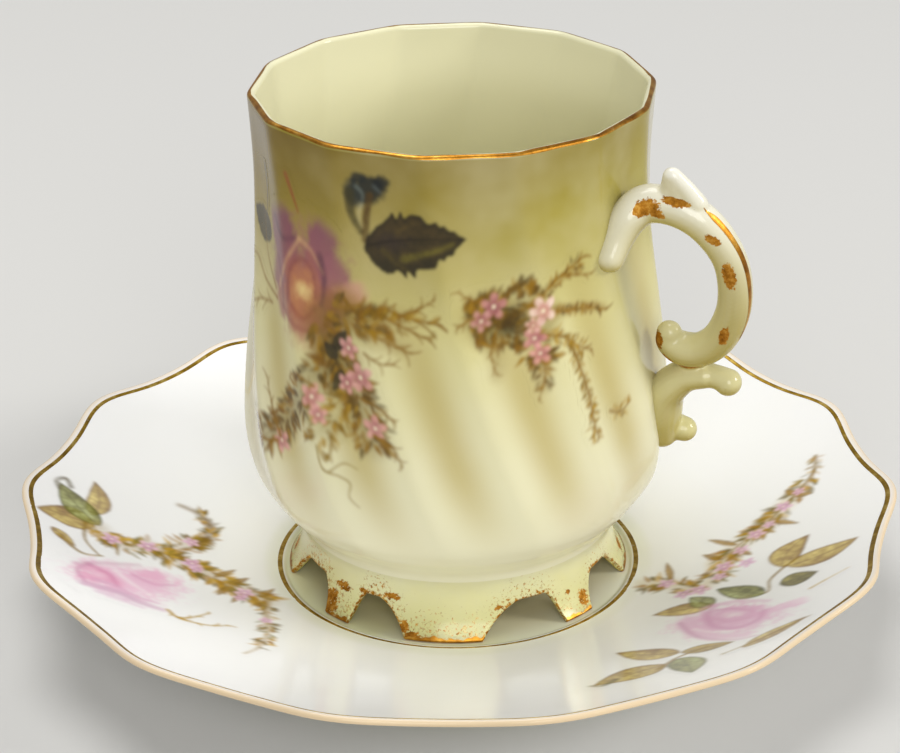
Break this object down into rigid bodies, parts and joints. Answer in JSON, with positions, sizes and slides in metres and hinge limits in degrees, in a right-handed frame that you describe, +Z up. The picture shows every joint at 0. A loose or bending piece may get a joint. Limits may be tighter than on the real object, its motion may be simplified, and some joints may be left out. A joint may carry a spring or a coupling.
{
  "type": "cup and saucer",
  "caption": "Footed porcelain cup with swirled fluted sides and a scrolled handle, on a scalloped saucer, painted with flower sprays and lined in gold.",
  "frame": {"origin": "on the table, under the middle of the saucer", "axes": "+Z up, +X along the cup's handle"},
  "size_m": [0.1538, 0.1536, 0.0945],
  "materials": {
    "cup_glaze": "clear glaze over ivory-tinted porcelain, with painted flower sprays",
    "saucer_glaze": "clear glaze over white porcelain, with painted flower sprays",
    "gilding": "fired gold, a little worn"
  },
  "bodies": {
    "saucer": {"saucer": "saucer_glaze", "saucer_rim_gilding": "gilding", "saucer_well_gilding": "gilding"},
    "cup": {"cup_body": "cup_glaze", "cup_rim_gilding": "gilding", "cup_foot": "cup_glaze", "cup_foot_gilding": "gilding", "cup_handle": "cup_glaze", "cup_handle_gilding": "gilding"}
  },
  "joints": [
    {"name": "cup_lift", "type": "slide", "parent": "saucer", "child": "cup", "axis": [0, 0, 1], "range_m": [0, 0.1]}
  ]
}
